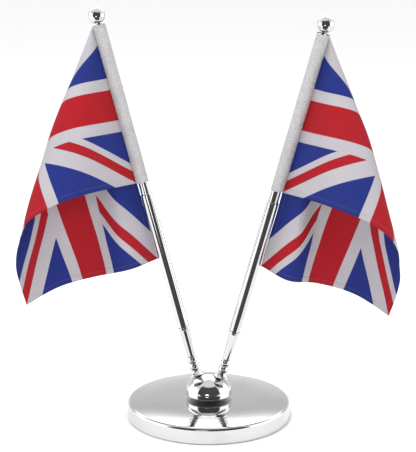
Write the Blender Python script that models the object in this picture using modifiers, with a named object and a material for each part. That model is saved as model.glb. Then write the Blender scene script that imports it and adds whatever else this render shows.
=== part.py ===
"""Desk flag stand: a weighted chromed disc, a domed hub with two leaning sockets, and two
telescopic poles, each with a ball finial and a small flag on a sewn sleeve.

Metres, +Z up. The origin is the centre of the felt pad's underside, on the desk.
The two poles lean out in the XZ plane: the left one towards -X, the right one towards +X.
"""

import math

import bpy
import numpy as np
from mathutils import Matrix, Vector

# ---- driving dimensions, in metres ----
BASE_RADIUS = 0.0508
BASE_SHOULDER = 0.0107
BASE_CROWN = 0.0124
BASE_EDGE = 0.0010
COVER_WALL = 0.0012
COVER_RIM_Z = 0.0004
FELT_RADIUS = 0.0490
FELT_THICK = 0.0012
WEIGHT_RADIUS = 0.0492
WEIGHT_BOTTOM = 0.0015
WEIGHT_TOP = 0.0090
COUNTERBORE_RADIUS = 0.0048
COUNTERBORE_TOP = 0.0050
SCREW_HOLE = 0.0023
SCREW_SHANK = 0.0019
SCREW_HEAD = 0.0035

HUB_RADIUS = 0.0143
HUB_MIDDLE_Z = 0.0165
HUB_TOP_HEIGHT = 0.0112
HUB_UNDERSIDE = 0.0133
HUB_NECK = 0.0060
HUB_BOTTOM = 0.0127
HUB_BORE = 0.0022
HUB_BORE_TOP = 0.0222

POLE_TILT = math.radians(15.6)
AXIS_X = 0.0061
AXIS_Z = 0.0200

# Distances along a pole's axis, from the point (AXIS_X, 0, AXIS_Z).
SEAT = 0.0061
SOCKET_BOTTOM = 0.0064
SOCKET_TOP = 0.0186
FERRULE_BOTTOM = 0.0189
FERRULE_TOP = 0.0384
SPIGOT = 0.0045
LOWER_TUBE_BOTTOM = 0.0387
LOWER_TUBE_TOP = 0.1253
PLUG_BOTTOM = 0.0500
UPPER_TUBE_BOTTOM = 0.0530
UPPER_TUBE_TOP = 0.2310
SLEEVE_BOTTOM = 0.1329
SLEEVE_TOP = 0.2324
BALL_CENTRE = 0.2384

SEAT_RADIUS = 0.0051
SOCKET_FLANGE = 0.0048
SOCKET_BEAD = 0.0031
SOCKET_NECK = 0.00235
SOCKET_BORE = 0.0019
SOCKET_FLOOR = 0.0086
STUD_RADIUS = 0.0013
STUD_BOTTOM = 0.0028
PEG_RADIUS = 0.0016
FERRULE_TIP = 0.00265
LOWER_TUBE_RADIUS = 0.00365
LOWER_TUBE_BORE = 0.00325
UPPER_TUBE_RADIUS = 0.0031
UPPER_TUBE_BORE = 0.0027
BALL_RADIUS = 0.0051
SLEEVE_RADIUS = 0.0036
SLEEVE_BORE = 0.00328

# ---- the flags ----
HOIST = 0.100
FLY = 0.150
CLOTH_THICK = 0.0005
CORNER_CUT = 0.0025
CORNER_THICK_REACH = 0.012
CLOTH_COLUMNS = 40
CLOTH_ROWS = 10
# The cloth hangs as a cone from its top hoist corner. An outline is the cone's section one
# unit down the pole: (outwards from the pole, towards the front). The hem lifts by LIFT
# over SPAN from the hoist, and the whole flag is turned about its pole.
LEFT_FLAG = {
    "outline": (
        (0.0, 0.0),
        (0.18, 0.31),
        (0.35, 0.44),
        (0.56, 0.43),
        (0.64, 0.24),
        (0.50, 0.06),
        (0.30, 0.03),
        (0.12, 0.07),
        (0.022, -0.08),
    ),
    "top": 0.2331,
    "offset": 0.00405,
    "lift": 0.0077,
    "lift_skew": 0.90,
    "span": 0.0985,
    "turn": 0.0,
}
RIGHT_FLAG = {
    "outline": (
        (0.0, 0.0),
        (0.15, 0.33),
        (0.30, 0.48),
        (0.51, 0.48),
        (0.59, 0.30),
        (0.46, 0.12),
        (0.26, 0.09),
        (0.08, 0.10),
        (0.022, -0.07),
    ),
    "top": 0.2322,
    "offset": 0.0042,
    "lift": 0.0108,
    "lift_skew": 0.85,
    "span": 0.1035,
    "turn": math.radians(31.7),
}

ROUND_STEPS = 26
SHARP_ANGLE = math.radians(35)


def clear_scene():
    for obj in list(bpy.data.objects):
        bpy.data.objects.remove(obj, do_unlink=True)


def new_collection(name, hidden=False):
    collection = bpy.data.collections.new(name)
    bpy.context.scene.collection.children.link(collection)
    collection.hide_render = hidden
    return collection


def new_material(name, colour, roughness, metallic):
    material = bpy.data.materials.new(name)
    material.use_nodes = True
    shader = material.node_tree.nodes["Principled BSDF"]
    shader.inputs["Base Color"].default_value = (*colour, 1.0)
    shader.inputs["Roughness"].default_value = roughness
    shader.inputs["Metallic"].default_value = metallic
    material.diffuse_color = (*colour, 1.0)
    return material


def arc(centre_r, centre_z, radius_r, radius_z, start, end, count):
    """Points of an elliptical arc in the profile plane, angles in degrees from +R towards +Z."""
    points = []
    for i in range(count + 1):
        angle = math.radians(start + (end - start) * i / count)
        points.append((centre_r + radius_r * math.cos(angle), centre_z + radius_z * math.sin(angle)))
    return points


def turned(name, profile, material, collection, steps=ROUND_STEPS, closed=False):
    """A solid turned about its own Z from a profile that runs down its outer side."""
    mesh = bpy.data.meshes.new(name)
    edges = [(i, i + 1) for i in range(len(profile) - 1)]
    if closed:
        edges.append((len(profile) - 1, 0))
    mesh.from_pydata([(r, 0.0, z) for r, z in profile], edges, [])
    obj = bpy.data.objects.new(name, mesh)
    collection.objects.link(obj)
    screw = obj.modifiers.new("Turn", "SCREW")
    screw.axis = "Z"
    screw.steps = steps
    screw.render_steps = steps
    screw.use_merge_vertices = True
    screw.merge_threshold = 1e-6
    graph = bpy.context.evaluated_depsgraph_get()
    solid = bpy.data.meshes.new_from_object(obj.evaluated_get(graph))
    obj.modifiers.clear()
    obj.data = solid
    bpy.data.meshes.remove(mesh)
    solid.name = name
    solid.shade_smooth()
    solid.set_sharp_from_angle(angle=SHARP_ANGLE)
    if material:
        solid.materials.append(material)
    return obj


def subtract(target, cutter):
    modifier = target.modifiers.new("Cut " + cutter.name, "BOOLEAN")
    modifier.operation = "DIFFERENCE"
    modifier.solver = "EXACT"
    modifier.object = cutter


def make_cutter(obj):
    obj.hide_render = True
    obj.display_type = "WIRE"


def crown_height(radius, shoulder):
    """Height of the cover's shallow crown at a radius."""
    return BASE_CROWN - (BASE_CROWN - BASE_SHOULDER) * (radius / shoulder) ** 2


def make_base(parts, metal, iron, felt, steel):
    shoulder = BASE_RADIUS - BASE_EDGE
    inner = BASE_RADIUS - COVER_WALL
    radii = [SCREW_HOLE, 0.006, 0.012, 0.020, 0.030, 0.040, 0.046]
    outer = [(r, crown_height(r, shoulder)) for r in radii]
    outer += arc(shoulder, BASE_SHOULDER - BASE_EDGE, BASE_EDGE, BASE_EDGE, 86, 0, 4)
    outer += [(BASE_RADIUS, COVER_RIM_Z), (inner, COVER_RIM_Z)]
    outer += [(inner, crown_height(inner, shoulder) - COVER_WALL)]
    outer += [(r, crown_height(r, shoulder) - COVER_WALL) for r in (0.036, 0.020, SCREW_HOLE)]
    turned("base_cover", outer, metal, parts, steps=56, closed=True)

    weight = [
        (SCREW_HOLE, WEIGHT_TOP),
        (WEIGHT_RADIUS - 0.0022, WEIGHT_TOP),
        (WEIGHT_RADIUS, WEIGHT_TOP - 0.0022),
        (WEIGHT_RADIUS, WEIGHT_BOTTOM),
        (COUNTERBORE_RADIUS, WEIGHT_BOTTOM),
        (COUNTERBORE_RADIUS, COUNTERBORE_TOP),
        (SCREW_HOLE, COUNTERBORE_TOP),
    ]
    turned("base_weight", weight, iron, parts, steps=32, closed=True)

    pad = [(0.0, FELT_THICK), (FELT_RADIUS, FELT_THICK), (FELT_RADIUS, 0.0), (0.0, 0.0)]
    turned("felt_pad", pad, felt, parts, steps=36)

    washer_top = COUNTERBORE_TOP - 0.0003
    washer_bottom = washer_top - 0.0008
    washer = [
        (SCREW_HOLE, washer_top),
        (0.0042, washer_top),
        (0.0042, washer_bottom),
        (SCREW_HOLE, washer_bottom),
    ]
    turned("screw_washer", washer, steel, parts, steps=16, closed=True)

    head_top = washer_bottom - 0.0003
    head_bottom = FELT_THICK + 0.0003
    screw = [
        (0.0, HUB_BORE_TOP - 0.0010),
        (SCREW_SHANK - 0.0005, HUB_BORE_TOP - 0.0010),
        (SCREW_SHANK, HUB_BORE_TOP - 0.0016),
        (SCREW_SHANK, head_top),
        (SCREW_HEAD, head_top),
        (SCREW_HEAD, head_bottom + 0.0006),
        (SCREW_HEAD - 0.0006, head_bottom),
        (0.0, head_bottom),
    ]
    return turned("centre_screw", screw, steel, parts, steps=16), head_bottom


def cut_hex_recess(screw, head_bottom, cutters):
    bpy.ops.mesh.primitive_cylinder_add(
        vertices=6, radius=0.0014, depth=0.0024, location=(0, 0, head_bottom)
    )
    recess = bpy.context.object
    recess.name = "hex_recess"
    for collection in list(recess.users_collection):
        collection.objects.unlink(recess)
    cutters.objects.link(recess)
    make_cutter(recess)
    subtract(screw, recess)


def make_hub(parts, cutters, metal):
    """A domed cap on a short neck, bored from below for the centre screw."""
    dome = arc(0.0, HUB_MIDDLE_Z, HUB_RADIUS, HUB_TOP_HEIGHT, 90, 0, 12)
    dome[0] = (0.0, HUB_MIDDLE_Z + HUB_TOP_HEIGHT)
    dome += [
        (HUB_RADIUS - 0.0001, HUB_MIDDLE_Z - 0.0008),
        (HUB_RADIUS - 0.0004, HUB_MIDDLE_Z - 0.0014),
        (HUB_RADIUS - 0.0009, HUB_MIDDLE_Z - 0.0018),
        (HUB_RADIUS - 0.0014, HUB_MIDDLE_Z - 0.0019),
        (HUB_NECK, HUB_UNDERSIDE),
        (HUB_NECK, HUB_BOTTOM),
        (HUB_BORE, HUB_BOTTOM),
        (HUB_BORE, HUB_BORE_TOP),
        (0.0, HUB_BORE_TOP),
    ]
    hub = turned("hub_dome", dome, metal, parts, steps=44)

    # Each socket stands on a flat seat cut square to its pole, with a hole for its stud.
    seat = [
        (0.0, 0.020),
        (SEAT_RADIUS, 0.020),
        (SEAT_RADIUS, SEAT),
        (STUD_RADIUS + 0.0003, SEAT),
        (STUD_RADIUS + 0.0003, STUD_BOTTOM - 0.0005),
        (0.0, STUD_BOTTOM - 0.0005),
    ]
    for side, sign in (("left", -1), ("right", 1)):
        cutter = turned("seat_" + side, seat, None, cutters, steps=24)
        make_cutter(cutter)
        cutter.location = (sign * AXIS_X, 0.0, AXIS_Z)
        cutter.rotation_euler = (0.0, sign * POLE_TILT, 0.0)
        subtract(hub, cutter)


def socket_profile():
    """From the bore's floor up to its mouth, then down two beads and a skirt to the stud."""
    bead_top = SOCKET_TOP - 0.0023
    bead_low = SOCKET_TOP - 0.0068
    points = [(0.0, SOCKET_FLOOR), (SOCKET_BORE, SOCKET_FLOOR), (SOCKET_BORE, SOCKET_TOP)]
    points += arc(SOCKET_NECK, bead_top, SOCKET_BEAD - SOCKET_NECK, 0.0020, 80, -80, 5)
    points += arc(SOCKET_NECK, bead_low, SOCKET_BEAD - SOCKET_NECK, 0.0020, 80, -80, 5)
    points += [
        (SOCKET_NECK, SOCKET_TOP - 0.0091),
        (0.0028, SOCKET_BOTTOM + 0.0025),
        (0.0036, SOCKET_BOTTOM + 0.0016),
        (SOCKET_FLANGE - 0.0004, SOCKET_BOTTOM + 0.0009),
        (SOCKET_FLANGE, SOCKET_BOTTOM + 0.0005),
        (SOCKET_FLANGE, SOCKET_BOTTOM),
        (STUD_RADIUS, SOCKET_BOTTOM),
        (STUD_RADIUS, STUD_BOTTOM),
        (0.0, STUD_BOTTOM),
    ]
    return points


def make_socket(side, axis, parts, metal):
    obj = turned(side + "_socket", socket_profile(), metal, parts, steps=22)
    obj.parent = axis


def make_pole(side, axis, parts, metal, nylon):
    ferrule = [
        (0.0, FERRULE_TOP + SPIGOT),
        (0.0026, FERRULE_TOP + SPIGOT),
        (0.0029, FERRULE_TOP + SPIGOT - 0.0004),
        (0.0029, FERRULE_TOP),
        (LOWER_TUBE_RADIUS - 0.0002, FERRULE_TOP),
        (LOWER_TUBE_RADIUS, FERRULE_TOP - 0.0004),
        (LOWER_TUBE_RADIUS, FERRULE_TOP - 0.0016),
        (LOWER_TUBE_RADIUS - 0.0003, FERRULE_TOP - 0.0020),
        (FERRULE_TIP, FERRULE_BOTTOM + 0.0003),
        (FERRULE_TIP - 0.0003, FERRULE_BOTTOM),
        (PEG_RADIUS, FERRULE_BOTTOM),
        (PEG_RADIUS, 0.0096),
        (PEG_RADIUS - 0.0004, 0.0091),
        (0.0, 0.0091),
    ]
    turned(side + "_taper_ferrule", ferrule, metal, parts, steps=22).parent = axis

    lip = 0.0004
    tube = [
        (LOWER_TUBE_BORE, LOWER_TUBE_TOP),
        (LOWER_TUBE_RADIUS - lip, LOWER_TUBE_TOP),
        (LOWER_TUBE_RADIUS, LOWER_TUBE_TOP - lip),
        (LOWER_TUBE_RADIUS, LOWER_TUBE_BOTTOM),
        (LOWER_TUBE_BORE, LOWER_TUBE_BOTTOM),
    ]
    obj = turned(side + "_lower_tube", tube, metal, parts, steps=ROUND_STEPS, closed=True)
    obj.parent = axis

    upper = [
        (UPPER_TUBE_BORE, UPPER_TUBE_TOP),
        (UPPER_TUBE_RADIUS - 0.0002, UPPER_TUBE_TOP),
        (UPPER_TUBE_RADIUS, UPPER_TUBE_TOP - 0.0002),
        (UPPER_TUBE_RADIUS, UPPER_TUBE_BOTTOM),
        (UPPER_TUBE_BORE, UPPER_TUBE_BOTTOM),
    ]
    obj = turned(side + "_upper_tube", upper, metal, parts, steps=ROUND_STEPS, closed=True)
    obj.parent = axis

    plug = [
        (0.0, UPPER_TUBE_BOTTOM + 0.0060),
        (0.0020, UPPER_TUBE_BOTTOM + 0.0060),
        (0.0024, UPPER_TUBE_BOTTOM + 0.0055),
        (0.0024, UPPER_TUBE_BOTTOM - 0.0003),
        (UPPER_TUBE_RADIUS, UPPER_TUBE_BOTTOM - 0.0003),
        (UPPER_TUBE_RADIUS, PLUG_BOTTOM + 0.0005),
        (UPPER_TUBE_RADIUS - 0.0005, PLUG_BOTTOM),
        (0.0, PLUG_BOTTOM),
    ]
    turned(side + "_slide_plug", plug, nylon, parts).parent = axis


def make_finial(side, axis, parts, metal):
    neck = 0.0018
    drop = math.degrees(math.acos(neck / BALL_RADIUS))
    ball = arc(0.0, BALL_CENTRE, BALL_RADIUS, BALL_RADIUS, 90, -drop, 12)
    ball[0] = (0.0, BALL_CENTRE + BALL_RADIUS)
    shoulder = UPPER_TUBE_TOP + 0.0003
    profile = ball + [
        (neck, shoulder + 0.0008),
        (0.0029, shoulder + 0.0006),
        (0.0029, shoulder),
        (0.0023, shoulder),
        (0.0023, shoulder - 0.0080),
        (0.0019, shoulder - 0.0084),
        (0.0, shoulder - 0.0084),
    ]
    turned(side + "_ball_finial", profile, metal, parts).parent = axis


def make_sleeve(side, axis, parts, cloth):
    profile = [
        (SLEEVE_BORE, SLEEVE_TOP),
        (SLEEVE_RADIUS, SLEEVE_TOP),
        (SLEEVE_RADIUS, SLEEVE_BOTTOM),
        (SLEEVE_BORE, SLEEVE_BOTTOM),
    ]
    obj = turned(side + "_flag_sleeve", profile, cloth, parts, steps=ROUND_STEPS, closed=True)
    obj.parent = axis


def smooth_outline(points, per_span=24):
    """A smooth line through the outline's points."""
    knots = np.array(points, float)
    knots = np.vstack([2 * knots[0] - knots[1], knots, 2 * knots[-1] - knots[-2]])
    line = []
    for i in range(1, len(knots) - 2):
        a, b, c, d = knots[i - 1 : i + 3]
        for k in range(per_span):
            t = k / per_span
            line.append(
                0.5
                * (
                    2 * b
                    + (c - a) * t
                    + (2 * a - 5 * b + 4 * c - d) * t**2
                    + (3 * b - a - 3 * c + d) * t**3
                )
            )
    line.append(knots[-2])
    return np.array(line)


def fold_directions(points):
    """Unit directions of the cone against the angle they span in the flat cloth.

    The outline is scaled until its directions span a right angle, the angle between the
    hoist and the top edge, so that the cloth isn't stretched.
    """
    outline = smooth_outline(points)
    low, high = 0.5, 2.0
    for _ in range(50):
        scale = (low + high) / 2
        directions = np.column_stack([outline * scale, np.ones(len(outline))])
        directions /= np.linalg.norm(directions, axis=1)[:, None]
        steps = np.arccos(np.clip((directions[1:] * directions[:-1]).sum(axis=1), -1, 1))
        if steps.sum() < math.pi / 2:
            low = scale
        else:
            high = scale
    return np.concatenate([[0.0], np.cumsum(steps)]), directions


def cloth_point(along, down, angles, directions, flag, outward):
    """A point of the hanging cloth in its pole's frame: along from the hoist, down from the top."""
    reach = math.hypot(along, down)
    angle = math.atan2(along, down)
    out, front, drop = (float(np.interp(angle, angles, directions[:, i])) * reach for i in range(3))
    swell = math.sin(math.pi * min(along / flag["span"], 1.0) ** flag["lift_skew"])
    raised = flag["lift"] * swell * (0.3 + 0.7 * down / HOIST)
    point = Vector((outward * (flag["offset"] + out), -front, flag["top"] - drop + raised))
    return Matrix.Rotation(flag["turn"], 3, "Z") @ point


def edge_point(share):
    """A point on the flag's free edge: along the hem from the hoist, then up the fly end."""
    walked = share * (FLY + HOIST)
    if walked < FLY:
        return walked, HOIST
    return FLY, HOIST + FLY - walked


def make_cloth(side, axis, parts, cloth, outward, flag):
    """A sheet whose rows fan out from the top hoist corner, thinning towards it."""
    bpy.ops.mesh.primitive_grid_add(
        x_subdivisions=CLOTH_COLUMNS, y_subdivisions=CLOTH_ROWS, size=1.0, location=(0, 0, 0)
    )
    obj = bpy.context.object
    obj.name = side + "_flag_cloth"
    obj.data.name = obj.name
    angles, directions = fold_directions(flag["outline"])
    group = obj.vertex_groups.new(name="thickness")
    for vertex in obj.data.vertices:
        edge_along, edge_down = edge_point(vertex.co.x + 0.5)
        length = math.hypot(edge_along, edge_down)
        share = (CORNER_CUT + (length - CORNER_CUT) * (vertex.co.y + 0.5)) / length
        along, down = share * edge_along, share * edge_down
        vertex.co = cloth_point(along, down, angles, directions, flag, outward)
        group.add([vertex.index], min(1.0, share * length / CORNER_THICK_REACH), "REPLACE")
    for collection in list(obj.users_collection):
        collection.objects.unlink(obj)
    parts.objects.link(obj)
    solid = obj.modifiers.new("Thickness", "SOLIDIFY")
    solid.thickness = CLOTH_THICK
    solid.offset = 0.0
    solid.vertex_group = group.name
    obj.data.shade_smooth()
    obj.data.materials.append(cloth)
    obj.parent = axis


def make_side(side, sign, parts, metal, nylon, cloth, white, flag):
    """One pole with its socket and flag, on an empty whose Z runs up the pole."""
    axis = bpy.data.objects.new(side + "_pole_axis", None)
    parts.objects.link(axis)
    axis.location = (sign * AXIS_X, 0.0, AXIS_Z)
    axis.rotation_euler = (0.0, sign * POLE_TILT, 0.0)
    make_socket(side, axis, parts, metal)
    make_pole(side, axis, parts, metal, nylon)
    make_finial(side, axis, parts, metal)
    make_sleeve(side, axis, parts, white)
    make_cloth(side, axis, parts, cloth, sign, flag)


def main():
    clear_scene()
    parts = new_collection("desk_flag_stand")
    cutters = new_collection("cutters", hidden=True)
    metal = new_material("chrome", (0.86, 0.87, 0.88), 0.06, 1.0)
    iron = new_material("iron", (0.16, 0.16, 0.17), 0.55, 0.9)
    felt = new_material("felt", (0.03, 0.03, 0.035), 0.95, 0.0)
    steel = new_material("zinc_steel", (0.55, 0.56, 0.58), 0.35, 1.0)
    nylon = new_material("nylon", (0.80, 0.79, 0.74), 0.5, 0.0)
    white = new_material("sleeve_cloth", (0.72, 0.72, 0.72), 0.85, 0.0)
    cloth = new_material("flag_cloth", (0.62, 0.05, 0.07), 0.8, 0.0)

    screw, head_bottom = make_base(parts, metal, iron, felt, steel)
    cut_hex_recess(screw, head_bottom, cutters)
    make_hub(parts, cutters, metal)
    make_side("left", -1, parts, metal, nylon, cloth, white, LEFT_FLAG)
    make_side("right", 1, parts, metal, nylon, cloth, white, RIGHT_FLAG)


main()
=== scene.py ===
import math

import bpy
import bmesh
import numpy as np
from mathutils import Matrix, Vector


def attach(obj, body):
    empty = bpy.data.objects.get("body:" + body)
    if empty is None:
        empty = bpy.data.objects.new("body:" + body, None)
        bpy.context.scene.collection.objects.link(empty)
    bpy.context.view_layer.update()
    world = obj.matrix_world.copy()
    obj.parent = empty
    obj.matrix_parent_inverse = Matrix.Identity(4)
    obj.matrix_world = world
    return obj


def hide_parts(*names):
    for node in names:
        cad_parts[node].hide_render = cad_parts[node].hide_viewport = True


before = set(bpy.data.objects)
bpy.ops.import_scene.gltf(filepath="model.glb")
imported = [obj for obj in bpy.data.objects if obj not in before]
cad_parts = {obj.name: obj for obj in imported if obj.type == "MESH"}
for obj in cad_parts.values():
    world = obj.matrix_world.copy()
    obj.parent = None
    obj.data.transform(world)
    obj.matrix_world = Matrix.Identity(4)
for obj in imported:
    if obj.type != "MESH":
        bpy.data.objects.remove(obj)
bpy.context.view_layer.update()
print("frame loaded:", len(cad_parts), "nodes")

sides = {"left": -1, "right": 1}
pole = {"lean": math.radians(15.6), "footX": 0.0061, "footZ": 0.0200}
lathe = {"smooth": math.radians(32), "merge": 1e-6, "ringMatch": 2e-6}


def deselectAll():
    if bpy.context.object and bpy.context.object.mode != "OBJECT":
        bpy.ops.object.mode_set(mode="OBJECT")
    bpy.ops.object.select_all(action="DESELECT")


def pick(piece):
    deselectAll()
    piece.select_set(True)
    bpy.context.view_layer.objects.active = piece


def applyPlace(piece):
    pick(piece)
    bpy.ops.object.transform_apply(location=True, rotation=True, scale=True)


def applyModifiers(piece):
    pick(piece)
    for name in [m.name for m in piece.modifiers]:
        bpy.ops.object.modifier_apply(modifier=name)


def arcRings(centre, size, start, end, count):
    # rings (radius, height) on an elliptical arc, angles in degrees from outwards to up
    rings = []
    for i in range(count + 1):
        angle = math.radians(start + (end - start) * i / count)
        rings.append((centre[0] + size[0] * math.cos(angle), centre[1] + size[1] * math.sin(angle)))
    return rings


def selectRing(piece, radius, height):
    # selects the vertices of one ring by their place
    bpy.ops.mesh.select_all(action="DESELECT")
    mesh = bmesh.from_edit_mesh(piece.data)
    for vert in mesh.verts:
        out = math.hypot(vert.co.x, vert.co.y)
        if max(abs(out - radius), abs(vert.co.z - height)) < lathe["ringMatch"]:
            vert.select = True
    mesh.select_flush(True)
    bmesh.update_edit_mesh(piece.data)


def drawToAxis(height, capHeight):
    bpy.ops.mesh.extrude_edges_move(TRANSFORM_OT_translate={"value": (0, 0, capHeight - height)})
    bpy.ops.mesh.merge(type="CENTER")


def mergeDoubles():
    bpy.ops.mesh.select_all(action="SELECT")
    bpy.ops.mesh.remove_doubles(threshold=lathe["merge"])
    bpy.ops.mesh.normals_make_consistent(inside=False)


def turnPiece(name, rings, segments, startCap=None, endCap=None, closed=False):
    # one ring is drawn out and scaled again and again, as on a lathe
    deselectAll()
    rings = list(rings) + ([rings[0]] if closed else [])
    radius, height = rings[0]
    bpy.ops.mesh.primitive_circle_add(vertices=segments, radius=radius, location=(0, 0, height))
    piece = bpy.context.object
    piece.name = name
    piece.data.name = name
    applyPlace(piece)
    bpy.ops.object.mode_set(mode="EDIT")
    bpy.ops.mesh.select_all(action="SELECT")
    for nextRadius, nextHeight in rings[1:]:
        grow = nextRadius / radius
        move = {"value": (0, 0, nextHeight - height)}
        bpy.ops.mesh.extrude_edges_move(TRANSFORM_OT_translate=move)
        bpy.ops.transform.resize(value=(grow, grow, 1), center_override=(0, 0, nextHeight))
        radius, height = nextRadius, nextHeight
    if endCap is not None:
        drawToAxis(height, endCap)
    if startCap is not None:
        selectRing(piece, *rings[0])
        drawToAxis(rings[0][1], startCap)
    mergeDoubles()
    bpy.ops.object.mode_set(mode="OBJECT")
    bpy.ops.object.shade_smooth_by_angle(angle=lathe["smooth"])
    return piece


def poleFrame(sign):
    foot = Matrix.Translation((sign * pole["footX"], 0, pole["footZ"]))
    return foot @ Matrix.Rotation(sign * pole["lean"], 4, "Y")


def finishPiece(piece, finish, body, slot, *nodes):
    piece.data.materials.clear()
    piece.data.materials.append(finish)
    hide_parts(*nodes)
    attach(piece, body)
    return piece


def onBothPoles(piece, finish, node, body):
    # the piece is modelled once, upright, and each pole gets its own copy
    # a body that starts with _ is the side's own
    for side, sign in sides.items():
        part = piece.copy()
        part.data = piece.data.copy()
        part.name = side + piece.name
        part.data.name = part.name
        bpy.context.collection.objects.link(part)
        part.matrix_world = poleFrame(sign)
        applyPlace(part)
        finishPiece(part, finish, side + body if body[0] == "_" else body, "chrome", side + node)
    bpy.data.objects.remove(piece)


# Shader maths

class Value:
    # a socket that adds a Math node wherever it stands in an expression
    def __init__(self, finish, socket):
        self.finish = finish
        self.socket = socket

    def join(self, operation, first, second=None, third=None):
        sockets = {0: first}
        if second is not None:
            sockets[1] = second
        if third is not None:
            sockets[2] = third
        return self.finish.node("ShaderNodeMath", {"operation": operation}, sockets)

    def __add__(self, other):
        return self.join("ADD", self, other)

    __radd__ = __add__

    def __sub__(self, other):
        return self.join("SUBTRACT", self, other)

    def __rsub__(self, other):
        return self.join("SUBTRACT", other, self)

    def __mul__(self, other):
        return self.join("MULTIPLY", self, other)

    __rmul__ = __mul__

    def __truediv__(self, other):
        return self.join("DIVIDE", self, other)

    def __abs__(self):
        return self.join("ABSOLUTE", self)

    def __gt__(self, other):
        return self.join("GREATER_THAN", self, other)

    def least(self, other):
        return self.join("MINIMUM", self, other)

    def most(self, other):
        return self.join("MAXIMUM", self, other)

    def sine(self):
        return self.join("SINE", self)

    def wrapped(self, length):
        # distance along a repeat, from 0 to length
        return self.join("WRAP", self, length, 0.0)

    def step(self, low, high):
        # 0 below low, 1 above high, smooth between
        settings = {"interpolation_type": "SMOOTHSTEP"}
        sockets = {"Value": self, "From Min": low, "From Max": high}
        return self.finish.node("ShaderNodeMapRange", settings, sockets)


class Finish:
    def __init__(self, name, shaderType="ShaderNodeBsdfPrincipled", **fixed):
        self.material = bpy.data.materials.new(name)
        self.material.use_nodes = True
        self.tree = self.material.node_tree
        self.tree.nodes.clear()
        self.shader = self.tree.nodes.new(shaderType)
        output = self.tree.nodes.new("ShaderNodeOutputMaterial")
        self.tree.links.new(self.shader.outputs[0], output.inputs["Surface"])
        for socket, value in fixed.items():
            self.put(socket, value)

    def node(self, kind, settings=None, sockets=None, take=0):
        made = self.tree.nodes.new(kind)
        for setting, value in (settings or {}).items():
            if setting == "stops":
                self.setStops(made.color_ramp, value)
            else:
                setattr(made, setting, value)
        for socket, value in (sockets or {}).items():
            self.feed(made.inputs[socket], value)
        return Value(self, made.outputs[take])

    def setStops(self, ramp, stops):
        while len(ramp.elements) < len(stops):
            ramp.elements.new(0.5)
        for element, (place, colour) in zip(ramp.elements, stops):
            element.position = place
            element.color = colour

    def feed(self, socket, value):
        if isinstance(value, Value):
            self.tree.links.new(value.socket, socket)
        else:
            socket.default_value = value

    def put(self, socket, value):
        self.feed(self.shader.inputs[socket.replace("_", " ")], value)

    def mixColour(self, factor, first, second, blend="MIX"):
        settings = {"data_type": "RGBA", "blend_type": blend}
        return self.node("ShaderNodeMix", settings, {0: factor, 6: first, 7: second}, take=2)

    def place(self, scale=(1, 1, 1), turn=(0, 0, 0)):
        # Object coordinates in metres, stretched and turned by a Mapping node
        where = self.node("ShaderNodeTexCoord", take="Object")
        sockets = {"Vector": where, "Scale": scale, "Rotation": turn}
        return self.node("ShaderNodeMapping", {}, sockets)

    def noise(self, scale, detail=3.0, where=None, rough=0.5):
        sockets = {"Scale": scale, "Detail": detail, "Roughness": rough}
        sockets["Vector"] = where or self.place()
        return self.node("ShaderNodeTexNoise", {}, sockets)

    def bump(self, height, distance, strength=1.0):
        sockets = {"Height": height, "Distance": distance, "Strength": strength}
        self.put("Normal", self.node("ShaderNodeBump", {}, sockets))


def rgb(red, green, blue):
    # a colour given as on a screen, 0 to 255, made linear
    def linear(c):
        c = c / 255
        return c / 12.92 if c <= 0.04045 else ((c + 0.055) / 1.055) ** 2.4
    return (linear(red), linear(green), linear(blue), 1.0)


# The chrome: near mirror, with faint polishing swirls, smears and dust specks

chromeLook = {"tint": (0.67, 0.675, 0.68, 1), "smeared": (0.60, 0.605, 0.61, 1),
              "rough": 0.045, "smearRough": 0.05, "hairRough": 0.02, "dustRough": 0.1,
              "smearScale": 55.0, "hairStretch": (900, 900, 60), "dustScale": 700.0,
              "swirlScale": 420.0, "waveScale": 35.0, "waviness": 0.00001}


def makeChrome():
    look = chromeLook
    chrome = Finish("polishedChrome", Metallic=1.0, IOR=2.5)
    smear = chrome.noise(look["smearScale"], 4.0, rough=0.6).step(0.48, 0.72)
    hairs = chrome.noise(1.0, 2.0, chrome.place(scale=look["hairStretch"]))
    specks = chrome.node("ShaderNodeTexVoronoi", {"feature": "F1"},
                         {"Vector": chrome.place(), "Scale": look["dustScale"]})
    dust = 1 - specks.step(0.05, 0.09)
    dulled = smear * 0.6 + dust * 0.4
    chrome.put("Base Color", chrome.mixColour(dulled, look["tint"], look["smeared"]))
    rough = smear * look["smearRough"] + hairs * look["hairRough"] + dust * look["dustRough"]
    chrome.put("Roughness", rough + look["rough"])
    swirls = chrome.noise(look["swirlScale"], 3.0) + chrome.noise(look["waveScale"], 1.0) * 2
    chrome.bump(swirls, look["waviness"])
    return chrome.material


def makeIron():
    iron = Finish("castIron", Metallic=0.9)
    grain = iron.noise(500.0, 6.0, rough=0.7)
    rust = iron.noise(70.0, 4.0).step(0.55, 0.7)
    iron.put("Base Color", iron.mixColour(rust * 0.5, (0.055, 0.055, 0.06, 1), (0.11, 0.06, 0.035, 1)))
    iron.put("Roughness", grain * 0.3 + 0.5)
    iron.bump(grain, 0.0003)
    return iron.material


def makeFelt():
    felt = Finish("baseFelt", Sheen_Weight=0.4, Sheen_Roughness=0.6)
    fibres = felt.noise(1.0, 5.0, felt.place(scale=(2600, 700, 900), turn=(0, 0, 0.6)))
    crossed = felt.noise(1.0, 5.0, felt.place(scale=(700, 2600, 900), turn=(0, 0, 0.2)))
    pile = fibres * 0.5 + crossed * 0.5
    worn = felt.noise(45.0, 2.0).step(0.5, 0.75)
    felt.put("Base Color", felt.mixColour(pile + worn * 0.2, rgb(18, 20, 24), rgb(52, 56, 64)))
    felt.put("Roughness", pile * 0.1 + 0.88)
    felt.bump(pile, 0.0004)
    return felt.material


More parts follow.
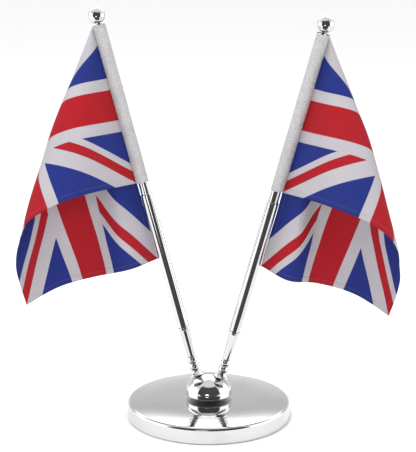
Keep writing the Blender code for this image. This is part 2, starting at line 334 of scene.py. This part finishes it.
def makeZinc():
    zinc = Finish("zincSteel", Metallic=1.0)
    bloom = zinc.noise(300.0, 4.0)
    turning = zinc.node("ShaderNodeTexWave", {"wave_type": "RINGS", "rings_direction": "Z"},
                        {"Vector": zinc.place(), "Scale": 900.0, "Distortion": 0.6})
    zinc.put("Base Color", zinc.mixColour(bloom, (0.46, 0.48, 0.52, 1), (0.62, 0.62, 0.58, 1)))
    zinc.put("Roughness", bloom * 0.2 + 0.22)
    zinc.bump(turning, 0.00002)
    return zinc.material


def makeNylon():
    nylon = Finish("nylonPlug", Subsurface_Weight=0.1)
    flow = nylon.noise(1.0, 3.0, nylon.place(scale=(900, 900, 160)))
    nylon.put("Base Color", nylon.mixColour(flow, rgb(206, 203, 190), rgb(228, 226, 216)))
    nylon.put("Roughness", flow * 0.15 + 0.38)
    nylon.bump(flow, 0.00004)
    return nylon.material


# The cloths, with threads along the two directions of the piece's own UV map

stitch = {"soft": 0.12, "wide": 0.28, "dash": 0.3, "gap": 0.42}


def clothPlace(cloth, width, length):
    # where a point lies on the flat cloth, in millimetres
    uv = cloth.node("ShaderNodeUVMap", {"uv_map": "cloth"})
    parts = cloth.tree.nodes.new("ShaderNodeSeparateXYZ")
    cloth.feed(parts.inputs[0], uv)
    return Value(cloth, parts.outputs[0]) * width, Value(cloth, parts.outputs[1]) * length


def threads(across, down, pitch):
    # plain weave: warp and weft take turns on top
    turn = 2 * math.pi / pitch
    warp = (across * turn).sine()
    weft = (down * turn).sine()
    over = ((across + down) * (turn / 2)).sine() * ((across - down) * (turn / 2)).sine()
    return warp * warp * 0.4 + weft * weft * 0.4 + over * 0.3


def stitches(along, away, row, length):
    # a row of short threads at a distance from an edge
    beside = abs(away - row)
    dash = abs(along.wrapped(length) - length / 2)
    thread = 1 - beside.step(stitch["soft"], stitch["wide"])
    return thread * (1 - dash.step(length * stitch["dash"], length * stitch["gap"]))


# half widths of the bars, and what is sewn, in millimetres
flagPrint = {"fly": 150.0, "hoist": 100.0, "cross": 9.6, "crossEdge": 16.8, "red": 6.0, "thin": 10.2,
             "broad": 9.8, "soft": 0.12, "blue": rgb(27, 42, 118), "redDye": rgb(163, 16, 22),
             "white": rgb(181, 177, 182), "thread": rgb(150, 148, 156), "threadShow": 0.12,
             "shade": (0.05, 0.05, 0.07, 1), "gap": (0.03, 0.03, 0.05, 1),
             "pitch": 0.42, "depth": 0.00009, "hem": 3.6, "seamIn": 0.8, "stitch": 2.4}


def makeFlagPrint():
    p = flagPrint
    cloth = Finish("printedFlagCloth", Sheen_Weight=0.0, Specular_IOR_Level=0.06)
    across, down = clothPlace(cloth, p["fly"], p["hoist"])
    middle, centre = p["fly"] / 2, p["hoist"] / 2
    # the fly half is the hoist half turned end for end about the middle
    flyHalf = across > middle
    s = across + flyHalf * (p["fly"] - 2 * across)
    t = down + flyHalf * (p["hoist"] - 2 * down)
    slope = p["hoist"] / p["fly"]
    square = 1 / math.hypot(1, slope)
    falling = (t - slope * s) * square
    rising = (t + slope * s - p["hoist"]) * square
    low = t > centre
    saltire = falling + low * (rising - falling)
    bar = abs(across - middle).least(abs(down - centre))

    def inside(value, edge):
        return 1 - value.step(edge - p["soft"], edge + p["soft"])

    whiteSaltire = inside(saltire, p["broad"]) * inside(0 - saltire, p["thin"])
    redSaltire = inside(saltire, 0.0) * inside(0 - saltire, p["red"])
    crossEdge = inside(bar, p["crossEdge"])
    whiteMask = whiteSaltire.most(crossEdge)
    redMask = (redSaltire * (1 - crossEdge)).most(inside(bar, p["cross"]))
    colour = cloth.mixColour(whiteMask, p["blue"], p["white"])
    colour = cloth.mixColour(redMask, colour, p["redDye"])
    # dye lies unevenly, and the threads' tops catch more light than the gaps
    web = threads(across, down, p["pitch"])
    patchy = cloth.noise(38.0, 4.0)
    colour = cloth.mixColour(patchy * 0.22, colour, p["shade"])
    colour = cloth.mixColour((1 - web) * 0.16, colour, p["gap"])
    edge = (down.least(p["hoist"] - down)).least(p["fly"] - across)
    thread = stitches(across + down, edge, p["hem"] - p["seamIn"], p["stitch"])
    colour = cloth.mixColour(thread * p["threadShow"], colour, p["thread"])
    hem = 1 - edge.step(p["hem"] - 0.15, p["hem"] + 0.15)
    cloth.put("Base Color", colour)
    cloth.put("Roughness", web * 0.08 + patchy * 0.08 + 0.72)
    relief = web * 0.5 + hem * 2.4 + thread * 1.2 + cloth.noise(160.0, 3.0) * 1.4
    cloth.bump(relief, p["depth"])
    return cloth.material


# the sleeve's girth, length and stitching, in millimetres
sleeveWeave = {"girth": 23.0, "length": 99.5, "pitch": 0.58, "depth": 0.00012, "seam": 9.6, "seamStitch": 2.2,
               "endSeam": 2.6, "endStitch": 1.9, "fold": 3.4, "dim": rgb(166, 164, 165),
               "bright": rgb(196, 194, 195), "soil": rgb(150, 148, 148), "gap": rgb(120, 118, 122),
               "thread": rgb(206, 205, 206)}


def makeSleeveCloth():
    w = sleeveWeave
    cloth = Finish("wovenSleeveCloth", Sheen_Weight=0.05, Sheen_Roughness=0.5, Specular_IOR_Level=0.15)
    across, down = clothPlace(cloth, w["girth"], w["length"])
    web = threads(across, down, w["pitch"])
    slub = cloth.noise(900.0, 4.0, rough=0.65)
    soiled = cloth.noise(60.0, 4.0).step(0.45, 0.8)
    colour = cloth.mixColour(slub.step(0.3, 0.7), w["dim"], w["bright"])
    colour = cloth.mixColour(soiled * 0.4, colour, w["soil"])
    # painted shade: the gaps between the threads are darkened
    colour = cloth.mixColour((1 - web) * 0.25, colour, w["gap"])
    toEnd = down.least(w["length"] - down)
    seam = stitches(down, abs(across - w["girth"] / 2), w["seam"], w["seamStitch"])
    thread = seam.most(stitches(across, toEnd, w["endSeam"], w["endStitch"]))
    colour = cloth.mixColour(thread * 0.5, colour, w["thread"])
    cloth.put("Base Color", colour)
    cloth.put("Roughness", web * 0.1 + 0.75)
    fold = 1 - toEnd.step(w["fold"], w["fold"] + 0.3)
    cloth.bump(web * 0.8 + slub * 0.8 + thread * 1.5 + fold * 1.5, w["depth"])
    return cloth.material


def makeSatinPaintedLight():
    # the unpolished underside of the hub: rougher than the chrome, with a base colour painted brighter as
    # painted light for the dim underside
    satinPaintedLight = Finish("satinUnderside", Metallic=1.0)
    grain = satinPaintedLight.noise(700.0, 4.0)
    # painted light: these greys are lighter than the chrome's tint to brighten the shaded underside
    satinPaintedLight.put("Base Color", satinPaintedLight.mixColour(grain, (0.74, 0.745, 0.75, 1), (0.86, 0.865, 0.87, 1)))
    satinPaintedLight.put("Roughness", grain * 0.15 + 0.40)
    satinPaintedLight.bump(grain, 0.00003)
    return satinPaintedLight.material


chromeFinish = makeChrome()
satinPaintedLightFinish = makeSatinPaintedLight()
ironFinish = makeIron()
feltFinish = makeFelt()
zincFinish = makeZinc()
nylonFinish = makeNylon()
flagFinish = makeFlagPrint()
sleeveFinish = makeSleeveCloth()
print("finishes made")

# Base cover: a pressed shell with a shallow crown, a tight edge and a plain rim

baseCover = {"radius": 0.0508, "shoulder": 0.0106, "crown": 0.0124, "edge": 0.0020, "wall": 0.0012,
             "rimHeight": 0.0004, "rimRound": 0.0003, "hole": 0.0023, "crownPower": 3.6}


def makeBaseCover():
    c = baseCover
    flat = c["radius"] - c["edge"]
    turnHeight = c["shoulder"] - c["edge"]
    rim, rimRound = c["rimHeight"], c["rimRound"]

    def crown(radius):
        return c["crown"] - (c["crown"] - c["shoulder"]) * (radius / flat) ** c["crownPower"]

    slope = math.degrees((c["crown"] - c["shoulder"]) * c["crownPower"] / flat)
    rings = [(r, crown(r)) for r in np.linspace(c["hole"], flat - 0.0004, 30)]
    rings += arcRings((flat, turnHeight), (c["edge"], c["edge"]), 90 - slope, 0, 14)
    rings += [(c["radius"], rim + c["wall"])]
    rings += arcRings((c["radius"] - rimRound, rim + rimRound), (rimRound, rimRound), 0, -90, 4)
    rings += [(c["radius"] - c["wall"], rim), (c["radius"] - c["wall"], turnHeight)]
    rings += arcRings((flat, turnHeight), (c["edge"] - c["wall"], 0.0007), 10, 80, 4)
    rings += [(r, crown(r) - c["wall"]) for r in (0.040, 0.025, 0.012, c["hole"])]
    piece = turnPiece("baseCover", rings, 192, closed=True)
    finishPiece(piece, chromeFinish, "base", "chrome", "base_cover")


# Hub: a domed cap with two flat seats for the sockets

hub = {"middle": 0.0165, "radius": 0.0143, "top": 0.0112, "under": 0.0133, "neck": 0.0056, "bottom": 0.0126,
       "lip": 0.0019, "lipRound": 0.0005, "bore": 0.0022, "boreTop": 0.0222, "seat": 0.0061,
       "seatRadius": 0.0051, "seatCut": 0.008, "smooth": math.radians(28)}


def makeHub():
    h = hub
    lipHeight = h["middle"] - h["lip"]
    lipEnd = h["radius"] - h["lipRound"]
    dish = (h["under"] - lipHeight) / (lipEnd - h["neck"])
    rings = arcRings((0, h["middle"]), (h["radius"], h["top"]), 88, 0, 30)
    rings += arcRings((lipEnd, lipHeight + h["lipRound"]), (h["lipRound"], h["lipRound"]), 0, -88, 8)
    rings += [(r, lipHeight + dish * (lipEnd - r)) for r in (0.0126, 0.0110, 0.0090, 0.0070)]
    rings += [(h["neck"] + 0.0002, h["under"]), (h["neck"], h["under"] - 0.0002)]
    rings += [(h["neck"], h["bottom"]), (h["bore"], h["bottom"]), (h["bore"], h["boreTop"])]
    piece = turnPiece("hubDome", rings, 160, h["middle"] + h["top"], h["boreTop"])
    for side, sign in sides.items():
        deselectAll()
        place = poleFrame(sign) @ Vector((0, 0, h["seat"] + h["seatCut"]))
        bpy.ops.mesh.primitive_cylinder_add(vertices=96, radius=h["seatRadius"], depth=2 * h["seatCut"],
                                            location=place, rotation=(0, sign * pole["lean"], 0))
        cutter = bpy.context.object
        cut = piece.modifiers.new("seat" + side, "BOOLEAN")
        cut.operation = "DIFFERENCE"
        cut.solver = "EXACT"
        cut.object = cutter
        applyModifiers(piece)
        bpy.data.objects.remove(cutter)
    pick(piece)
    bpy.ops.object.shade_smooth_by_angle(angle=h["smooth"])
    finishPiece(piece, chromeFinish, "base", "chrome", "hub_dome")
    # faces that point down take the rougher satin finish, whose lighter colour is painted light under the hub
    piece.data.materials.append(satinPaintedLightFinish)
    for face in piece.data.polygons:
        if face.normal.z < -0.6:
            face.material_index = 1


# Socket: a flared foot on a stud, two soft beads and a bore for the ferrule's peg

socket = {"foot": 0.0064, "mouth": 0.0186, "bore": 0.0019, "neck": 0.00235, "bead": 0.00080,
          "beadHalf": 0.0020, "beadsDown": (0.0023, 0.0068), "flange": 0.0048, "stud": 0.0013,
          "studBottom": 0.0028, "floor": 0.0086}
# the flare from the neck to the flange: (radius, height above the foot)
flare = ((0.0027, 0.0026), (0.0031, 0.0021), (0.0036, 0.0015), (0.0041, 0.0010))


def makeSockets():
    p = socket
    neck = p["neck"]
    rings = [(p["bore"], p["floor"]), (p["bore"], p["mouth"] - 0.0002), (p["bore"] + 0.0002, p["mouth"])]
    for down in p["beadsDown"]:
        rings += arcRings((neck, p["mouth"] - down), (p["bead"], p["beadHalf"]), 82, -82, 14)
    rings += [(neck, p["foot"] + 0.0032), (neck + 0.0001, p["foot"] + 0.0029)]
    rings += [(radius, p["foot"] + height) for radius, height in flare]
    rings += arcRings((p["flange"] - 0.0004, p["foot"] + 0.0004), (0.0004, 0.0004), 65, -85, 7)
    rings += [(p["stud"], p["foot"]), (p["stud"], p["studBottom"])]
    piece = turnPiece("Socket", rings, 72, p["floor"], p["studBottom"])
    onBothPoles(piece, chromeFinish, "_socket", "base")


# Ferrule: a long taper with a collar, a peg for the socket and a spigot for the tube

ferrule = {"tip": 0.00265, "shoulder": 0.00335, "collar": 0.00365, "bottom": 0.0189, "top": 0.0384,
           "peg": 0.0016, "pegBottom": 0.0091, "spigot": 0.0029, "spigotTop": 0.0429, "round": 0.0003}


def makeFerrules():
    f = ferrule
    small = f["round"]
    rings = [(f["spigot"] - small, f["spigotTop"]), (f["spigot"], f["spigotTop"] - small)]
    rings += [(f["spigot"], f["top"]), (f["collar"] - small, f["top"])]
    rings += arcRings((f["collar"] - small, f["top"] - small), (small, small), 75, 0, 4)
    rings += arcRings((f["collar"] - small, f["top"] - 0.0015), (small, small), 0, -75, 4)
    rings += [(f["shoulder"] + 0.00005, f["top"] - 0.0019), (f["shoulder"], f["top"] - 0.0021)]
    rings += [(f["tip"] + 0.00002, f["bottom"] + 2 * small)]
    rings += arcRings((f["tip"] - small, f["bottom"] + small), (small, small), 0, -85, 5)
    rings += [(f["peg"], f["bottom"]), (f["peg"], f["pegBottom"] + 0.0005)]
    rings += [(f["peg"] - 0.0004, f["pegBottom"])]
    piece = turnPiece("TaperFerrule", rings, 80, f["spigotTop"], f["pegBottom"])
    onBothPoles(piece, chromeFinish, "_taper_ferrule", "_pole")


# Tubes: drawn tube, the lower one with its mouth rolled in round the upper one

lowerTube = {"radius": 0.00365, "bore": 0.00325, "bottom": 0.0387, "top": 0.1253, "roll": 0.0004}
upperTube = {"radius": 0.0031, "bore": 0.0027, "bottom": 0.0530, "top": 0.2310, "roll": 0.0002}


def makeTube(name, t):
    roll = t["roll"]
    rings = [(t["bore"], t["bottom"]), (t["radius"] - 0.0001, t["bottom"])]
    rings += [(t["radius"], t["bottom"] + 0.0001)]
    rings += [(t["radius"], h) for h in np.linspace(t["bottom"] + 0.001, t["top"] - 0.001, 8)]
    rings += arcRings((t["radius"] - roll, t["top"] - roll), (roll, roll), 0, 88, 7)
    rings += [(t["bore"] + 0.00002, t["top"] - 0.00003), (t["bore"], t["top"] - 0.0002)]
    return turnPiece(name, rings, 80, closed=True)


def makeTubes():
    onBothPoles(makeTube("LowerTube", lowerTube), chromeFinish, "_lower_tube", "_pole")
    onBothPoles(makeTube("UpperTube", upperTube), chromeFinish, "_upper_tube", "_mast")


# Finial: a ball on a short neck with a small collar that plugs the upper tube

finial = {"ball": 0.0051, "centre": 0.2384, "neck": 0.0018, "collar": 0.0029, "seat": 0.2313, "plug": 0.0023,
          "plugBottom": 0.2229}


def makeFinials():
    f = finial
    rim = f["collar"] - 0.0002
    drop = math.degrees(math.acos((f["neck"] + 0.0002) / f["ball"]))
    rings = arcRings((0, f["centre"]), (f["ball"], f["ball"]), 86, -drop, 40)
    rings += [(f["neck"], f["seat"] + 0.0014), (f["neck"] + 0.0002, f["seat"] + 0.0009)]
    rings += [(rim, f["seat"] + 0.0006)]
    rings += arcRings((rim, f["seat"] + 0.0004), (0.0002, 0.0002), 60, -80, 6)
    rings += [(rim, f["seat"]), (f["plug"], f["seat"]), (f["plug"], f["plugBottom"] + 0.0004)]
    rings += [(f["plug"] - 0.0004, f["plugBottom"])]
    piece = turnPiece("BallFinial", rings, 96, f["centre"] + f["ball"], f["plugBottom"])
    onBothPoles(piece, chromeFinish, "_ball_finial", "_mast")


makeBaseCover()
makeHub()
makeSockets()
makeFerrules()
makeTubes()
makeFinials()
print("turned pieces made")

# The flags. Each hangs as a soft cone from its top hoist corner. An outline is the cone's
# section one unit down the pole: (outwards from the pole, towards the front). The hem lifts
# over a span from the hoist, and the whole flag is turned about its pole.

cloth = {"hoist": 0.100, "fly": 0.150, "thick": 0.00040, "corner": 0.0009, "reach": 0.010, "columns": 190,
         "rows": 76, "wrinkle": 0.00042, "liftGrows": 0.060, "liftStart": 0.3, "calmHoist": 0.012,
         "calmCorner": 0.04}
flags = {
    "left": {"outline": ((0, 0), (0.185, 0.32), (0.36, 0.45), (0.565, 0.44), (0.625, 0.23), (0.47, 0.02),
                         (0.29, 0.0), (0.12, 0.07), (0.010, -0.03)),
             "top": 0.2331, "offset": 0.00405, "lift": 0.0060, "skew": 1.15, "span": 0.0985, "turn": 0.0,
             "seed": 0.4},
    "right": {"outline": ((0, 0), (0.15, 0.345), (0.31, 0.49), (0.51, 0.49), (0.57, 0.29), (0.43, 0.07),
                          (0.25, 0.03), (0.10, 0.10), (0.010, -0.02)),
              "top": 0.2322, "offset": 0.0042, "lift": 0.0086, "skew": 1.10, "span": 0.1035,
              "turn": math.radians(31.7), "seed": 2.1},
}


def smoothOutline(points, perSpan=24):
    knots = np.array(points, float)
    knots = np.vstack([2 * knots[0] - knots[1], knots, 2 * knots[-1] - knots[-2]])
    line = []
    for i in range(1, len(knots) - 2):
        a, b, c, d = knots[i - 1:i + 3]
        for t in np.arange(perSpan) / perSpan:
            bend = (2 * a - 5 * b + 4 * c - d) * t ** 2 + (3 * b - a - 3 * c + d) * t ** 3
            line.append(0.5 * (2 * b + (c - a) * t + bend))
    line.append(knots[-2])
    return np.array(line)


def foldDirections(points):
    # the outline is scaled until its directions span a right angle, so the cloth isn't stretched
    outline = smoothOutline(points)
    low, high = 0.5, 2.0
    for _ in range(50):
        scale = (low + high) / 2
        ways = np.column_stack([outline * scale, np.ones(len(outline))])
        ways /= np.linalg.norm(ways, axis=1)[:, None]
        steps = np.arccos(np.clip((ways[1:] * ways[:-1]).sum(axis=1), -1, 1))
        if steps.sum() < math.pi / 2:
            low = scale
        else:
            high = scale
    return np.concatenate([[0.0], np.cumsum(steps)]), ways


def hangCloth(side, sign):
    # grid of points: columns walk along the hem and up the fly end, rows run out from the corner
    f = flags[side]
    angles, ways = foldDirections(f["outline"])
    walked = np.linspace(0, cloth["fly"] + cloth["hoist"], cloth["columns"] + 1)
    edgeAlong = np.minimum(walked, cloth["fly"])
    edgeDown = cloth["hoist"] - np.maximum(walked - cloth["fly"], 0)
    length = np.hypot(edgeAlong, edgeDown)
    out = np.linspace(0, 1, cloth["rows"] + 1)[:, None]
    share = (cloth["corner"] + (length - cloth["corner"]) * out) / length
    along, down = share * edgeAlong, share * edgeDown
    reach, angle = np.hypot(along, down), np.arctan2(along, down)
    outwards, front, drop = (np.interp(angle, angles, ways[:, i]) * reach for i in range(3))
    swell = np.sin(math.pi * np.minimum(along / f["span"], 1.0) ** f["skew"])
    grown = np.sin(np.minimum(down / cloth["liftGrows"], 1.0) * math.pi / 2)
    raised = f["lift"] * swell * (cloth["liftStart"] + (1 - cloth["liftStart"]) * grown)
    points = np.stack([sign * (f["offset"] + outwards), -front, f["top"] - drop + raised], axis=-1)
    # shallow wrinkles that die away at the hoist and at the corner
    normals = np.cross(np.gradient(points, axis=1), np.gradient(points, axis=0))
    normals /= np.maximum(np.linalg.norm(normals, axis=-1), 1e-12)[..., None]
    a, d, seed = along * 1000, down * 1000, f["seed"]
    wave = np.sin(a / 7.5 + d / 31 + seed) * 0.5 + np.sin(d / 9.0 - a / 24 + 2 * seed) * 0.4
    wave += np.sin(a / 3.9 - d / 14 + 3 * seed) * np.sin(d / 17 + a / 40) * 0.35
    calm = np.clip(along / cloth["calmHoist"], 0, 1)
    calm = calm * np.clip((reach - cloth["calmHoist"]) / cloth["calmCorner"], 0, 1)
    points += normals * (wave * calm * cloth["wrinkle"])[..., None]
    return points, along, down, reach


def makeSheet(name, points, uvAcross, uvDown):
    rows, columns = points.shape[:2]
    mesh = bpy.data.meshes.new(name)
    faces = []
    for r in range(rows - 1):
        for c in range(columns - 1):
            first, below = r * columns + c, (r + 1) * columns + c
            faces.append((first, first + 1, below + 1, below))
    mesh.from_pydata(points.reshape(-1, 3), [], faces)
    layer = mesh.uv_layers.new(name="cloth")
    uv = np.column_stack([np.broadcast_to(uvAcross, (rows, columns)).ravel(),
                          np.broadcast_to(uvDown, (rows, columns)).ravel()])
    corners = np.array([loop.vertex_index for loop in mesh.loops])
    layer.data.foreach_set("uv", uv[corners].ravel())
    piece = bpy.data.objects.new(name, mesh)
    bpy.context.collection.objects.link(piece)
    mesh.shade_smooth()
    return piece


def makeFlag(side, sign):
    points, along, down, reach = hangCloth(side, sign)
    piece = makeSheet(side + "Flag", points, along / cloth["fly"], down / cloth["hoist"])
    group = piece.vertex_groups.new(name="thickness")
    for index, value in enumerate(reach.ravel()):
        group.add([index], max(0.15, min(1.0, value / cloth["reach"])), "REPLACE")
    solid = piece.modifiers.new("thickness", "SOLIDIFY")
    solid.thickness = cloth["thick"]
    solid.offset = 0
    solid.vertex_group = "thickness"
    applyModifiers(piece)
    piece.matrix_world = poleFrame(sign) @ Matrix.Rotation(flags[side]["turn"], 4, "Z")
    applyPlace(piece)
    return finishPiece(piece, flagFinish, side + "_flag", "flag_cloth", side + "_flag_cloth")


# Sleeve: a woven tube pinched into a seam where the flag's hoist is sewn in

sleeve = {"bottom": 0.1329, "top": 0.2324, "girth": 0.0245, "length": 0.0995, "radius": 0.00352,
          "pinch": 0.00095, "pinchAngle": math.radians(30), "pucker": 0.00005, "endStitch": 0.00006,
          "thick": 0.00028, "rows": 150, "columns": 72}


def makeSleeve(side, sign):
    v = sleeve
    around = np.linspace(0, 2 * math.pi, v["columns"] + 1)[None, :]
    height = np.linspace(v["top"], v["bottom"], v["rows"] + 1)[:, None]
    down = (v["top"] - height) * 1000
    seamSide = math.pi if sign < 0 else 0.0
    away = np.angle(np.exp(1j * (around - seamSide)))
    length = v["length"] * 1000
    pinch = v["pinch"] * np.exp(-(away / v["pinchAngle"]) ** 2)
    pucker = v["pucker"] * np.sin(down * 2 * math.pi / 4.4 + 1.1 * np.sin(down / 7))
    pucker = pucker * np.exp(-(away / 0.9) ** 2)
    drag = v["pucker"] * np.sin(down / 5.5 + 2 * around + sign)
    ends = sum(-v["endStitch"] * np.exp(-((down - row) / 0.5) ** 2) for row in (2.6, length - 2.5))
    radius = v["radius"] + pinch + pucker + drag + ends
    points = np.stack([radius * np.cos(around), radius * np.sin(around), height + 0 * around], axis=-1)
    across = (away / (2 * math.pi) + 0.5) % 1.0
    piece = makeSheet(side + "FlagSleeve", points, across, down / length)
    pick(piece)
    bpy.ops.object.mode_set(mode="EDIT")
    mergeDoubles()
    bpy.ops.object.mode_set(mode="OBJECT")
    solid = piece.modifiers.new("thickness", "SOLIDIFY")
    solid.thickness = v["thick"]
    solid.offset = -1
    applyModifiers(piece)
    piece.matrix_world = poleFrame(sign) @ Matrix.Rotation(flags[side]["turn"], 4, "Z")
    applyPlace(piece)
    return finishPiece(piece, sleeveFinish, side + "_flag", "sleeve_cloth", side + "_flag_sleeve")


for side, sign in sides.items():
    flag = makeFlag(side, sign)
    tube = makeSleeve(side, sign)
print("flags hung")

# The nodes that stay as they are get their finishes

plainNodes = {"base_weight": ironFinish, "felt_pad": feltFinish, "centre_screw": zincFinish,
              "screw_washer": zincFinish, "left_slide_plug": nylonFinish, "right_slide_plug": nylonFinish}
for name, finish in plainNodes.items():
    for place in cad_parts[name].material_slots:
        place.material = finish

# Floor, light and what the chrome mirrors

studio = {"world": 0.98, "floorColour": 0.93, "floorSize": 8, "front": (0.2497, -0.9683), "tentRadius": 0.9,
          "wall": 0.95, "softbox": 2.2, "dark": 0.085, "greyLow": 1.0, "greyHigh": 0.66,
          "lampWay": (0.0986, -0.9949, 0.052), "aim": (0, 0, 0.12)}
# darker floor that only the chrome sees: name, front or back, distance out, half angle, brightness
floorCards = (("frontCard", 1, 0.090, 43, studio["dark"]), ("backCard", -1, 0.17, 38, 0.35))
# name, place, width, watts
lamps = (("topLamp", (-0.25, -0.15, 1.2), 0.7, 7.0), ("sideLamp", (1.1, -0.5, 0.6), 0.6, 2.0),
         ("frontLamp", (0.05, -1.2, 0.35), 0.6, 5.0))


def makeFloor():
    deselectAll()
    bpy.ops.mesh.primitive_plane_add(size=studio["floorSize"], location=(0, 0, -0.0002))
    floor = bpy.context.object
    floor.name = "floor"
    paper = Finish("palePaper", Roughness=0.9)
    mottle = paper.noise(3.0, 2.0)
    c = studio["floorColour"]
    paper.put("Base Color", paper.mixColour(mottle, (c, c, c, 1), (c * 0.98, c * 0.98, c * 0.98, 1)))
    floor.data.materials.append(paper.material)


def onlyMirrored(piece):
    for sight in ("camera", "diffuse", "shadow", "transmission", "volume_scatter"):
        setattr(piece, "visible_" + sight, False)


def makeTent():
    # a light tent round the object that only the chrome sees: dark towards the open front,
    # grey low behind, white elsewhere
    deselectAll()
    bpy.ops.mesh.primitive_uv_sphere_add(segments=96, ring_count=48, radius=studio["tentRadius"])
    tent = bpy.context.object
    tent.name = "lightTent"
    bpy.ops.object.shade_smooth()
    glow = Finish("tentGlow", "ShaderNodeEmission")
    parts = glow.tree.nodes.new("ShaderNodeSeparateXYZ")
    glow.feed(parts.inputs[0], glow.node("ShaderNodeTexCoord", take="Object"))
    x, y, z = (Value(glow, parts.outputs[i]) for i in range(3))
    flat = x.join("SQRT", x * x + y * y)
    frontX, frontY = studio["front"]
    facing = (x * frontX + y * frontY) / flat
    rise = z / studio["tentRadius"]
    sideways = abs((x * -frontY + y * frontX) / flat)
    openFront = facing.step(0.50, 0.58) * (1 - rise.step(0.82, 0.90))
    behind = (0 - facing).step(0.45, 0.60)
    low = 1 - rise.step(0.40, 0.58)
    grey = rise.step(0.02, 0.46) * (studio["greyHigh"] - studio["greyLow"]) + studio["greyLow"]
    softboxes = sideways.step(0.78, 0.90) * (1 - rise.step(0.45, 0.62))
    softboxes = softboxes.most(behind * (1 - low) * (1 - rise.step(0.90, 0.97)))
    level = softboxes * (studio["softbox"] - studio["wall"]) + studio["wall"]
    level = behind * low * (grey - level) + level
    level = openFront * (studio["dark"] - level) + level
    spotX, spotY, spotZ = (part / studio["tentRadius"] for part in studio["lampWay"])
    spot = (x * spotX + y * spotY + z * spotZ).step(0.986, 0.991)
    level = spot * (studio["softbox"] - level) + level
    glow.put("Strength", level)
    glow.put("Color", (1, 1, 1, 1))
    tent.data.materials.append(glow.material)
    onlyMirrored(tent)


def makeFloorCard(name, facing, reach, spread, level):
    # a wedge of floor, cut from a disc by a line across and two lines out from the middle
    deselectAll()
    bpy.ops.mesh.primitive_circle_add(vertices=96, radius=studio["tentRadius"], fill_type="NGON",
                                      location=(0, 0, 0.0006))
    card = bpy.context.object
    card.name = name
    applyPlace(card)
    frontX, frontY = studio["front"]
    middle = math.atan2(facing * frontY, facing * frontX)
    planes = [(middle, reach)]
    planes += [(middle + side * math.radians(spread) - side * math.pi / 2, 0) for side in (1, -1)]
    bpy.ops.object.mode_set(mode="EDIT")
    for angle, away in planes:
        normal = (math.cos(angle), math.sin(angle), 0)
        bpy.ops.mesh.select_all(action="SELECT")
        bpy.ops.mesh.bisect(plane_co=[away * n for n in normal], plane_no=normal, clear_inner=True)
    bpy.ops.object.mode_set(mode="OBJECT")
    shade = Finish(name + "Shade", "ShaderNodeEmission", Strength=level)
    card.data.materials.append(shade.material)
    onlyMirrored(card)


def makeLamp(name, place, size, energy):
    lamp = bpy.data.lights.new(name, "AREA")
    lamp.shape = "DISK"
    lamp.size = size
    lamp.energy = energy
    holder = bpy.data.objects.new(name, lamp)
    bpy.context.collection.objects.link(holder)
    holder.location = place
    holder.rotation_euler = (Vector(studio["aim"]) - Vector(place)).to_track_quat("-Z", "Y").to_euler()
    holder.visible_glossy = False
    holder.visible_camera = False


def makeSky():
    sky = bpy.data.worlds.new("studio")
    bpy.context.scene.world = sky
    sky.use_nodes = True
    background = sky.node_tree.nodes["Background"]
    background.inputs["Color"].default_value = (1, 1, 1, 1)
    background.inputs["Strength"].default_value = studio["world"]


makeFloor()
makeTent()
for card in floorCards:
    makeFloorCard(*card)
for lamp in lamps:
    makeLamp(*lamp)
makeSky()
print("studio set")

# Camera

view = {"place": (0.2655, -1.0298, 0.4040), "right": (0.9681, 0.2506, 0.0013),
        "up": (-0.0653, 0.2471, 0.9668), "forward": (-0.2419, 0.9360, -0.2555), "lens": 143.3}


def makeCamera():
    camera = bpy.data.cameras.new("camera")
    holder = bpy.data.objects.new("camera", camera)
    bpy.context.collection.objects.link(holder)
    turn = Matrix((view["right"], view["up"], -Vector(view["forward"]))).transposed()
    holder.matrix_world = Matrix.Translation(view["place"]) @ turn.to_4x4()
    camera.sensor_width = 36
    camera.lens = view["lens"]
    bpy.context.scene.camera = holder


makeCamera()
bpy.context.scene.view_settings.view_transform = "Standard"
